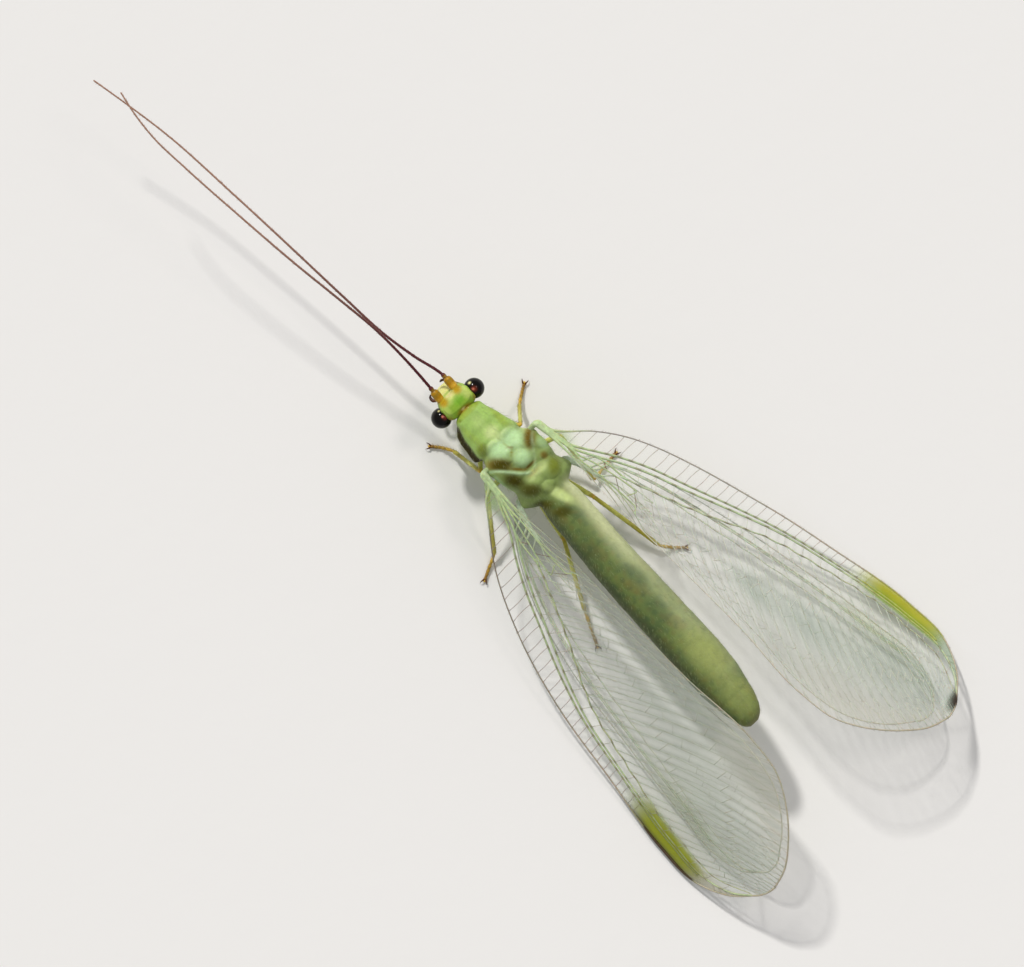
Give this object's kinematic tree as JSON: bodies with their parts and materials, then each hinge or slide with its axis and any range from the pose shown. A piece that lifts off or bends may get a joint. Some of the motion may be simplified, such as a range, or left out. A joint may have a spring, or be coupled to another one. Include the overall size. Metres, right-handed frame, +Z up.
{
  "type": "green lacewing",
  "caption": "Still, life-size model of a green lacewing at rest, with long antennae held forward and clear veined wings sloped like a roof beside the body.",
  "frame": {"origin": "middle of the model's footprint, on the floor that the feet rest on", "axes": "+Z up, -Y towards the tips of the antennae, +Y towards the tips of the wings, +X towards the insect's own left"},
  "size_m": [0.0098, 0.0295, 0.0042],
  "materials": {
    "body_green": "satin green cuticle with pale mint lobes and olive patches",
    "abdomen_green": "soft mottled green cuticle with a yellowish right flank",
    "leg_olive": "satin olive cuticle, reddish brown towards the claws",
    "antenna_brown": "dull dark reddish brown with a golden orange base",
    "eye_bronze": "glossy near-black with bronze and red glints",
    "wing_clear": "clear thin membrane with green and grey-brown veins"
  },
  "bodies": {
    "root": {"head": "body_green", "eye_left": "eye_bronze", "eye_right": "eye_bronze", "antenna_left": "antenna_brown", "antenna_right": "antenna_brown", "prothorax": "body_green", "thorax": "body_green", "abdomen": "abdomen_green", "forewing_left": "wing_clear", "forewing_right": "wing_clear", "hindwing_left": "wing_clear", "hindwing_right": "wing_clear", "leg_fore_left": "leg_olive", "leg_fore_right": "leg_olive", "leg_mid_left": "leg_olive", "leg_mid_right": "leg_olive", "leg_hind_left": "leg_olive", "leg_hind_right": "leg_olive"}
  },
  "joints": []
}
